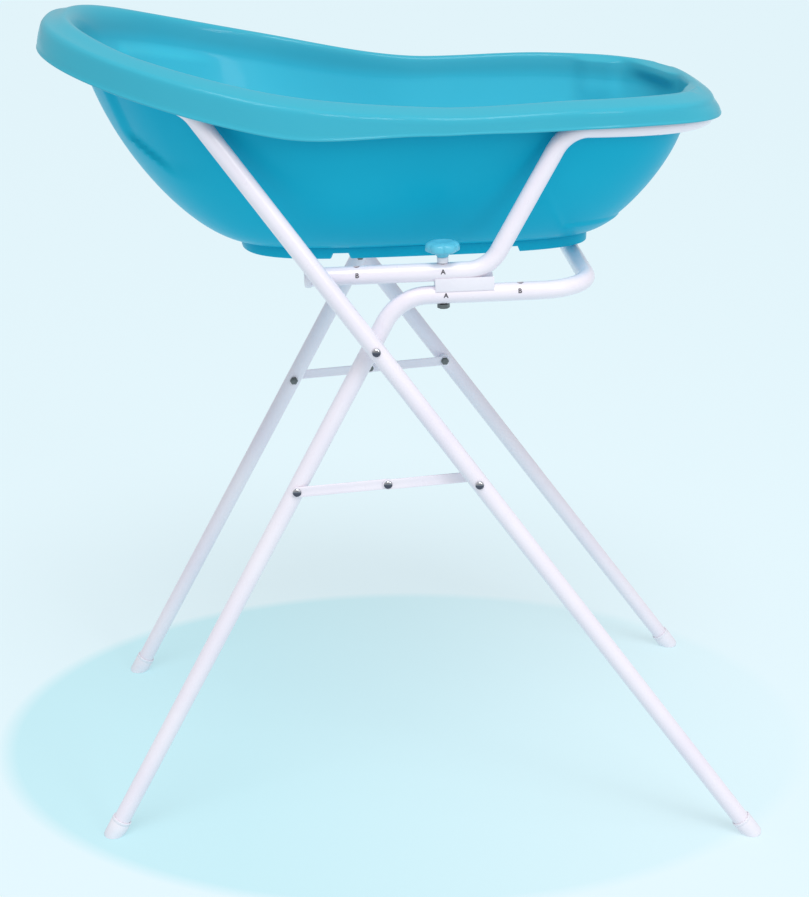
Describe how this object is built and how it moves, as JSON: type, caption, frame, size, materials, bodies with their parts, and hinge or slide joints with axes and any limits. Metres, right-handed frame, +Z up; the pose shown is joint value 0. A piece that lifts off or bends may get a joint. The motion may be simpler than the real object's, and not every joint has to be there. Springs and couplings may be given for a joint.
{
  "type": "baby bath stand",
  "caption": "Folding tube stand with locking side links and an adjustable foot rest clamped by hand knobs, carrying a lift-off baby bath.",
  "frame": {"origin": "on the floor, under the middle of the whole object's box", "axes": "+X from the head end to the foot end of the bath, +Y to the back side, +Z up"},
  "size_m": [0.9062, 0.5756, 1.0201],
  "materials": {
    "white_frame": "smooth white powder coat",
    "white_plastic": "white moulded plastic",
    "turquoise_plastic": "glossy turquoise moulded plastic",
    "knob_turquoise": "glossy pale turquoise moulded plastic",
    "chrome": "bright plated steel",
    "dark_zinc": "dark zinc plated steel"
  },
  "bodies": {
    "stand": {"foot_frame": "white_frame", "foot_rest": "white_frame", "saddle_front": "white_plastic", "saddle_back": "white_plastic", "clamp_bolt_front": "dark_zinc", "clamp_bolt_back": "dark_zinc", "clamp_nuts": "dark_zinc", "pivot_bolts": "chrome", "pivot_nuts": "dark_zinc", "pivot_spacers": "white_plastic", "head_link_bolts": "chrome", "head_link_nuts": "dark_zinc", "foot_frame_feet": "white_plastic", "foot_rest_plugs": "white_plastic"},
    "head_frame": {"head_frame": "white_frame", "head_frame_feet": "white_plastic", "foot_link_bolts": "chrome", "foot_link_nuts": "dark_zinc", "foot_link_spacers": "white_plastic"},
    "head_links": {"head_link_front": "white_frame", "head_link_back": "white_frame", "middle_nuts": "dark_zinc"},
    "foot_links": {"foot_link_front": "white_frame", "foot_link_back": "white_frame", "middle_bolts": "chrome"},
    "collar_front": {"collar_front": "white_plastic"},
    "collar_back": {"collar_back": "white_plastic"},
    "knob_front": {"knob_front": "knob_turquoise"},
    "knob_back": {"knob_back": "knob_turquoise"},
    "bath": {"bath": "turquoise_plastic"}
  },
  "joints": [
    {"name": "fold", "type": "hinge", "parent": "stand", "child": "head_frame", "pos_m": [-0.05109, 0, 0.655], "axis": [0, 1, 0], "range_deg": [0, 60]},
    {"name": "head_link_swing", "type": "hinge", "parent": "stand", "child": "head_links", "pos_m": [-0.14678, 0, 0.47041], "axis": [0, 1, 0], "range_deg": [-48, 0.1]},
    {"name": "foot_link_swing", "type": "hinge", "parent": "head_frame", "child": "foot_links", "pos_m": [0.07313, 0, 0.48834], "axis": [0, 1, 0], "range_deg": [-0.1, 64.6]},
    {"name": "bath_lift", "type": "slide", "parent": "stand", "child": "bath", "axis": [0, 0, 1], "range_m": [-0.0005, 1.572]},
    {"name": "knob_rise_front", "type": "slide", "parent": "stand", "child": "collar_front", "axis": [-0.0314, 0, 0.9995], "range_m": [-0.0001, 0.00505]},
    {"name": "knob_spin_front", "type": "hinge", "parent": "collar_front", "child": "knob_front", "pos_m": [0.03091, -0.21026, 0.71208], "axis": [-0.0314, 0, 0.9995], "range_deg": [0, 1440]},
    {"name": "knob_rise_back", "type": "slide", "parent": "stand", "child": "collar_back", "axis": [-0.0314, 0, 0.9995], "range_m": [-0.0001, 0.00505]},
    {"name": "knob_spin_back", "type": "hinge", "parent": "collar_back", "child": "knob_back", "pos_m": [0.03091, 0.21026, 0.71208], "axis": [-0.0314, 0, 0.9995], "range_deg": [0, 1440]}
  ],
  "couplings": [
    {"joint": "head_link_swing", "follows": "fold", "ratio": -0.79797},
    {"joint": "foot_link_swing", "follows": "fold", "ratio": 1.0746},
    {"joint": "bath_lift", "follows": "fold", "m_per_rad": 1.5},
    {"joint": "knob_rise_front", "follows": "knob_spin_front", "m_per_rad": 0.00019894},
    {"joint": "knob_rise_back", "follows": "knob_spin_back", "m_per_rad": 0.00019894}
  ]
}
